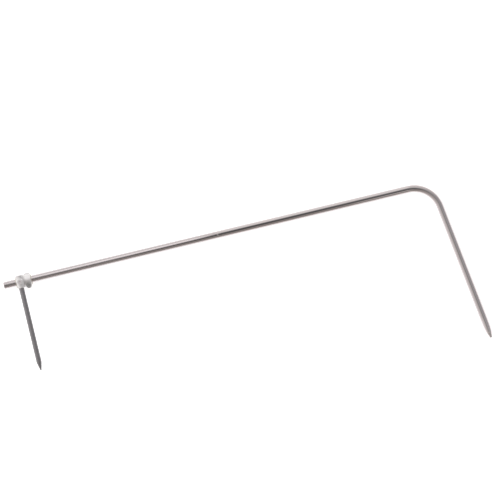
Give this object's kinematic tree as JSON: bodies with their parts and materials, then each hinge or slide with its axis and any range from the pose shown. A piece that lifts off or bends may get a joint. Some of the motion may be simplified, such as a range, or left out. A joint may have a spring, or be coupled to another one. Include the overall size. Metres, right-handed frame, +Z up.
{
  "type": "bent rod with clamped needle head",
  "caption": "Thin polished steel rod with a long pointed bent leg at one end and a small sliding, swivelling clamp head that holds a pointed needle square to the rod.",
  "frame": {"origin": "bottom centre of the whole part as it lies flat on a table", "axes": "+X along the beam, from the clamp head towards the bent leg; +Y in the plane of the rod, away from the leg and the needle; +Z up from the table, the side that the screw heads face"},
  "size_m": [0.3204, 0.118, 0.0137],
  "materials": {
    "polished_rod": "polished stainless",
    "satin_head": "satin nickel-plated",
    "needle_steel": "ground steel",
    "bush_brass": "turned",
    "screw_steel": "plated, dulled"
  },
  "bodies": {
    "rod": {"bent_rod": "polished_rod"},
    "bush": {"rod_bush": "bush_brass"},
    "head": {"clamp_head": "satin_head"},
    "needle": {"needle": "needle_steel"},
    "needle_pad": {"needle_pad": "bush_brass"},
    "needle_screw": {"needle_screw": "screw_steel"},
    "pinch_washer": {"pinch_washer": "satin_head"},
    "pinch_screw": {"pinch_screw": "screw_steel"}
  },
  "joints": [
    {"name": "head_slide", "type": "slide", "parent": "rod", "child": "bush", "axis": [1, 0, 0], "range_m": [-0.0085, 0.265]},
    {"name": "head_swivel", "type": "hinge", "parent": "bush", "child": "head", "pos_m": [-0.14597, 0.05405, 0.00455], "axis": [1, 0, 0], "continuous": true},
    {"name": "needle_slide", "type": "slide", "parent": "head", "child": "needle", "axis": [0, -1, 0], "range_m": [-0.048, 0.003]},
    {"name": "needle_screw_travel", "type": "slide", "parent": "head", "child": "needle_pad", "axis": [0, 0, 1], "range_m": [0, 0.0008]},
    {"name": "needle_screw_turn", "type": "hinge", "parent": "needle_pad", "child": "needle_screw", "pos_m": [-0.14847, 0.05405, 0.01255], "axis": [0, 0, 1], "range_deg": [0, 721]},
    {"name": "pinch_screw_travel", "type": "slide", "parent": "head", "child": "pinch_washer", "axis": [0, 0, 1], "range_m": [0, 0.00105]},
    {"name": "pinch_screw_turn", "type": "hinge", "parent": "pinch_washer", "child": "pinch_screw", "pos_m": [-0.14306, 0.05004, 0.00815], "axis": [0, 0, 1], "range_deg": [0, 1081]}
  ],
  "couplings": [
    {"joint": "needle_screw_turn", "follows": "needle_screw_travel", "rad_per_m": 15708},
    {"joint": "pinch_screw_turn", "follows": "pinch_screw_travel", "rad_per_m": 17952}
  ]
}
